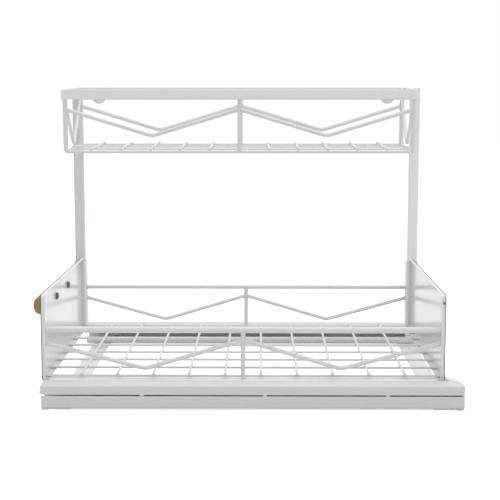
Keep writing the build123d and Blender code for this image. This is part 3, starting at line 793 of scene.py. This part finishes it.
def upper_basket():
    """The wires of the upper basket and their welds."""
    welds = Beads()
    leaning = Matrix.Rotation(upper_tilt, 3, "X")
    along, upward, across = (1, 0, 0), leaning @ Vector((0, 0, 1)), leaning @ Vector((0, 1, 0))
    under_band = -band_height / 2
    rod_top = band_height / 2 - rod_tuck
    corners = [(ring_half_x, -1), (ring_half_x, 1), (-ring_half_x, 1), (-ring_half_x, -1)]
    ring = [hung(x, upper_middle + side * ring_half_y, ring_z) for x, side in corners]
    wires("bottom_ring_wire", ring_wire, [ring], "upper_bottom_ring", bend=ring_corner, closed=True)
    rods = []
    for x in (-upper_wire_half, upper_wire_half):
        for y in (upper_near_plane, upper_far_plane):
            rods.append([hung(x, y, ring_top + weld_gap), hung(x, y, rod_top)])
            welds.butt(hung(x, y, ring_top), upward, corner_rod)
            welds.butt(hung(x, y, under_band), upward, corner_rod)
    wires("corner_rod_wires", corner_rod, rods, "upper_corner_rods", sides=28)
    for side_name, y in (("near", upper_near_plane), ("far", upper_far_plane)):
        zigzags = []
        for side in (-1, 1):
            start = side * upper_centre_bar / 4
            end = side * (upper_wire_half - corner_rod / 4)
            zigzags.append([hung(start, y, upper_zigzag_peak),
                            hung(side * upper_zigzag_quarter, y, upper_zigzag_low),
                            hung(end, y, upper_zigzag_end)])
            welds.butt(hung(side * upper_centre_bar / 2, y, upper_zigzag_peak - 0.4), along,
                       upper_zigzag_wire)
            welds.butt(hung(side * (upper_wire_half - corner_rod / 2), y, upper_zigzag_end - 0.6), along,
                       upper_zigzag_wire)
        wires("upper_" + side_name + "_zigzag_wires", upper_zigzag_wire, zigzags,
              "upper_" + side_name + "_zigzag", bend=zigzag_bend)
        wires("upper_" + side_name + "_centre_bar_wire", upper_centre_bar,
              [[hung(0, y, ring_top + weld_gap), hung(0, y, rod_top)]],
              "upper_" + side_name + "_centre_bar", sides=24)
        welds.butt(hung(0, y, ring_top), upward, upper_centre_bar)
        welds.butt(hung(0, y, under_band), upward, upper_centre_bar)
    end_low = ring_top + weld_gap + end_wire / 2
    for side_name, side in (("front", -1), ("rear", 1)):
        x = side * upper_wire_half
        near = hung(x, upper_near_plane + corner_rod / 4, end_wire_top)
        far = hung(x, upper_far_plane - corner_rod / 4, end_wire_top)
        wires(side_name + "_end_v_wire", end_wire, [[near, hung(x, upper_middle, end_low), far]],
              "upper_" + side_name + "_end_wire", bend=end_wire_bend)
        welds.butt(hung(x, upper_near_plane + corner_rod / 2, end_wire_top - 1.5), across, end_wire)
        welds.butt(hung(x, upper_far_plane - corner_rod / 2, end_wire_top - 1.5), across, end_wire)
        welds.cross(hung(x, upper_middle, ring_top), upward, end_wire)
    long_y = [upper_middle + ring_half_y * (2 * n / upper_long_gaps - 1) for n in range(1, upper_long_gaps)]
    long_z = ring_top - upper_floor_wire / 2 - weld_gap
    cross_z = ring_top + upper_floor_wire / 2 + weld_gap
    half = ring_half_x - ring_wire / 2 - weld_gap
    long_paths = [[hung(x, y, long_z) for x in (-half, half)] for y in long_y]
    wires("upper_long_wire_row", upper_floor_wire, long_paths, "upper_long_wires")
    for y in long_y:
        for x in (-half, half):
            welds.butt(hung(x, y, long_z), along, upper_floor_wire)
    crossings = []
    for x in evenly(upper_cross_count, upper_cross_pitch):
        ends = [upper_middle - ring_half_y, upper_middle + ring_half_y]
        for y in [ends[0], *long_y, ends[1]]:
            welds.cross(hung(x, y, ring_top), upward, upper_floor_wire)
        if x == 0:
            ends = [upper_near_plane + upper_centre_bar / 2, upper_far_plane - upper_centre_bar / 2]
        crossings.append([hung(x, y, cross_z) for y in ends])
        for y in ends:
            welds.cut(hung(x, y, cross_z), across, upper_floor_wire)
    wires("upper_cross_wire_row", upper_floor_wire, crossings, "upper_cross_wires")
    welds.make("upper_basket_welds", 3, 7)


def joined_rings(rings, closed_start, closed_end, name):
    """A closed mesh from rings of points, with a pole at each end."""
    shape = bmesh.new()
    made = [[shape.verts.new(point) for point in ring] for ring in rings]
    count = len(made[0])
    for first, second in zip(made, made[1:]):
        for step in range(count):
            following = (step + 1) % count
            shape.faces.new((first[step], first[following], second[following], second[step]))
    for ring, place in ((made[0], closed_start), (made[-1], closed_end)):
        pole = shape.verts.new(place)
        for step in range(count):
            shape.faces.new((pole, ring[step], ring[(step + 1) % count]))
    bmesh.ops.recalc_face_normals(shape, faces=shape.faces)
    mesh = bpy.data.meshes.new(name)
    shape.to_mesh(mesh)
    shape.free()
    mesh.shade_smooth()
    return mesh


def wooden_handle():
    """The oval wooden bar, with softly rounded ends."""
    sides, end_steps, runs = 72, 8, 40
    half = handle_length / 2
    straight = handle_length - 2 * handle_end_radius
    stations = []
    for step in range(end_steps + 1):
        angle = step / end_steps * math.pi / 2
        stations.append((-half + handle_end_radius * (1 - math.cos(angle)),
                         handle_end_radius * (1 - math.sin(angle))))
    mirrored = [(-y, inset) for y, inset in reversed(stations)]
    stations += [(-half + handle_end_radius + straight * run / runs, 0.0) for run in range(1, runs)]
    rings = []
    for y, inset in stations + mirrored:
        ring = []
        for step in range(sides):
            angle = 2 * math.pi * step / sides
            x = handle_x + (handle_thickness / 2 - inset) * math.cos(angle)
            z = handle_z + (handle_width / 2 - inset) * math.sin(angle)
            ring.append(Vector((x, handle_y + y, z)) * mm)
        rings.append(ring)
    start = Vector((handle_x, handle_y - half, handle_z)) * mm
    end = Vector((handle_x, handle_y + half, handle_z)) * mm
    piece = new_piece("wooden_handle_bar", joined_rings(rings, start, end, "wooden_handle_bar"), "oiled_wood")
    settle(piece, "oiled_wood", "drawer", "wooden_handle")


def screw_mesh(name, head_radius, head_height, shank_radius, shank_length):
    """A pan head screw along Z with a cross recess, its seat at Z zero."""
    reach = head_radius * 0.56
    half_width = head_radius * 0.15
    soft = head_radius * 0.05
    dome_share = 0.86
    sides = 96

    def sunk(x, y):
        one_arm = min((half_width - abs(x)) / soft, (reach - abs(y)) / soft)
        other_arm = min((half_width - abs(y)) / soft, (reach - abs(x)) / soft)
        share = min(1.0, max(0.0, max(one_arm, other_arm) + 0.5))
        return head_height * 0.62 * share * (1.0 - 0.45 * math.hypot(x, y) / reach)

    profile = []
    for ring in range(1, 31):
        share = ring / 30 * dome_share
        profile.append((head_radius * share, head_height * (1 - 0.22 * share ** 2.4)))
    low_dome = profile[-1][1]
    for turn in range(1, 7):
        angle = turn / 6 * math.pi / 2
        radius = head_radius * (dome_share + (1 - dome_share) * math.sin(angle))
        profile.append((radius, low_dome * (0.35 + 0.65 * math.cos(angle) ** 0.7)))
    dome_rings = len(profile)
    profile += [(head_radius, 0.0), (shank_radius, 0.0), (shank_radius, -shank_length * 0.88),
                (shank_radius * 0.45, -shank_length)]
    rings = []
    for number, (radius, height) in enumerate(profile):
        ring = []
        for step in range(sides):
            angle = 2 * math.pi * step / sides
            x, y = radius * math.cos(angle), radius * math.sin(angle)
            drop = sunk(x, y) if number < dome_rings else 0.0
            ring.append(Vector((x, y, height - drop)) * mm)
        rings.append(ring)
    start = Vector((0, 0, head_height - sunk(0, 0))) * mm
    mesh = joined_rings(rings, start, Vector((0, 0, -shank_length)) * mm, name)
    mesh.set_sharp_from_angle(angle=recess_crease)
    return mesh


def screws(node, name, places, axis, *sizes):
    """Screws in place of a node, with their heads towards an axis."""
    single = screw_mesh(name + "_one", *sizes)
    turn = Vector(axis).to_track_quat("Z", "Y").to_matrix().to_4x4()
    row = bmesh.new()
    for place in places:
        copy = single.copy()
        copy.transform(Matrix.Translation(Vector(place) * mm) @ turn)
        row.from_mesh(copy)
        bpy.data.meshes.remove(copy)
    mesh = bpy.data.meshes.new(name)
    row.to_mesh(mesh)
    row.free()
    bpy.data.meshes.remove(single)
    slot = node_slot[node]
    piece = new_piece(name, mesh, slot)
    settle(piece, slot, node_body[node], node)


def pan_screws(node, name, axis, head_height):
    """The pair of screws of a node, whose heads point along X or Y and which stand apart along the other."""
    low, high = (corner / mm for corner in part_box(node))
    radius = (high.z - low.z) / 2
    seat = high[axis] - head_height
    places = []
    for end in (low[1 - axis] + radius, high[1 - axis] - radius):
        place = Vector((0, 0, (low.z + high.z) / 2))
        place[axis], place[1 - axis] = seat, end
        places.append(place)
    heads = (1, 0, 0) if axis == 0 else (0, 1, 0)
    screws(node, name, places, heads, radius, head_height, screw_shank_radius, seat - low[axis])


sheet_nodes = [
    "near_lower_channel", "far_lower_channel", "near_upper_angle", "far_upper_angle",
    "near_runner", "far_runner", "front_panel", "rear_panel", "front_sleeve", "rear_sleeve",
    "front_post", "rear_post", "top_crossbar", "front_cross_strip", "rear_cross_strip",
    "mounting_ears", "upper_band", "near_front_axle", "far_front_axle", "near_rear_axle",
    "far_rear_axle", "post_screws",
]
moulded_nodes = [
    "rail_feet", "rail_end_plugs", "post_caps", "near_front_roller", "far_front_roller",
    "near_rear_roller", "far_rear_roller",
]
wide_edges = {"front_panel": panel_edge, "rear_panel": panel_edge, "upper_band": band_edge}
for sheet_node in sheet_nodes:
    softened(sheet_node, wide_edges.get(sheet_node, sheet_edge))
for moulded_node in moulded_nodes:
    softened(moulded_node, moulded_edge)
lower_basket()
upper_basket()
wooden_handle()
pan_screws("handle_screws", "handle_pan_screws", 0, handle_screw_head)
pan_screws("ear_screws", "ear_pan_screws", 1, ear_screw_head)


def make_camera():
    """The camera where the photograph was taken from."""
    data = bpy.data.cameras.new("camera")
    data.lens = camera_lens
    data.sensor_width = camera_sensor
    camera = bpy.data.objects.new("camera", data)
    camera.location = camera_place
    camera.rotation_euler = (math.radians(90 - camera_pitch_down), 0, math.radians(camera_yaw))
    bpy.context.scene.collection.objects.link(camera)
    bpy.context.scene.camera = camera


def make_floor():
    """A plain pale floor that keeps the object's shadow and meets the background's white."""
    finish = Finish("floor_paint")
    tone = finish.noise(1.5, 2.0)
    colour = finish.mixed(tone, shade(floor_level * 0.99), shade(floor_level))
    finish.set(Base_Color=colour, Roughness=0.9, Specular_IOR_Level=0.2)
    light_path = finish.node("ShaderNodeLightPath")
    rays = ("Is Camera Ray", "Is Glossy Ray", "Is Transmission Ray")
    camera, glossy, through = (Value(finish, light_path.outputs[ray]) for ray in rays)
    seen = camera + glossy + through
    glow = finish.node("ShaderNodeEmission", None, {"Color": shade(1.0), "Strength": seen * floor_glow})
    total = finish.node("ShaderNodeAddShader", None, {0: finish.shader.outputs[0], 1: glow.outputs[0]})
    finish.tree.links.new(total.outputs[0], finish.tree.nodes["Material Output"].inputs["Surface"])
    mesh = bpy.data.meshes.new("floor")
    corners = [(x * floor_half, y * floor_half, 0.0) for x, y in ((-1, -1), (1, -1), (1, 1), (-1, 1))]
    mesh.from_pydata(corners, [], [(0, 1, 2, 3)])
    mesh.materials.append(finish.material)
    floor = bpy.data.objects.new("floor", mesh)
    bpy.context.scene.collection.objects.link(floor)


def make_world():
    """Soft studio light from all round, in front of a white background."""
    world = bpy.data.worlds.new("studio")
    bpy.context.scene.world = world
    world.use_nodes = True
    tree = world.node_tree
    background = tree.nodes["Background"]
    coordinates = tree.nodes.new("ShaderNodeTexCoord")
    parts = tree.nodes.new("ShaderNodeSeparateXYZ")
    tree.links.new(coordinates.outputs["Generated"], parts.inputs[0])

    def calculate(operation, first, second):
        node = tree.nodes.new("ShaderNodeMath")
        node.operation = operation
        for index, value in enumerate((first, second)):
            if isinstance(value, bpy.types.NodeSocket):
                tree.links.new(value, node.inputs[index])
            else:
                node.inputs[index].default_value = value
        return node.outputs[0]

    def share(axis, side):
        """How far a direction points along one side of an axis, squared."""
        one_side = calculate("MAXIMUM", calculate("MULTIPLY", parts.outputs[axis], float(side)), 0.0)
        return calculate("MULTIPLY", one_side, one_side)

    level = calculate("MULTIPLY", share(2, 1), studio_top)
    sides = ((0, 1, studio_right), (0, -1, studio_left), (1, 1, studio_back), (1, -1, studio_front))
    for axis, side, amount in sides:
        level = calculate("ADD", level, calculate("MULTIPLY", share(axis, side), amount))
    rays = tree.nodes.new("ShaderNodeLightPath").outputs
    seen = calculate("MAXIMUM", rays["Is Camera Ray"], rays["Is Transmission Ray"])
    seen = calculate("MAXIMUM", seen, rays["Is Glossy Ray"])
    unseen = calculate("SUBTRACT", 1.0, seen)
    strength = calculate("ADD", calculate("MULTIPLY", unseen, level), seen)
    tree.links.new(strength, background.inputs["Strength"])
    background.inputs["Color"].default_value = (1.0, 1.0, 1.0, 1.0)


def make_lamp(name, place, target, size, power):
    """A square softbox that points at a target."""
    data = bpy.data.lights.new(name, "AREA")
    data.shape = "SQUARE"
    data.size = size
    data.energy = power
    lamp = bpy.data.objects.new(name, data)
    lamp.location = place
    lamp.rotation_euler = (Vector(target) - Vector(place)).to_track_quat("-Z", "Y").to_euler()
    bpy.context.scene.collection.objects.link(lamp)


make_camera()
make_floor()
make_world()
make_lamp("top_softbox", top_lamp_place, (0.0, 0.0, 0.1), top_lamp_size, top_lamp_power)
bpy.context.scene.view_settings.view_transform = "Standard"
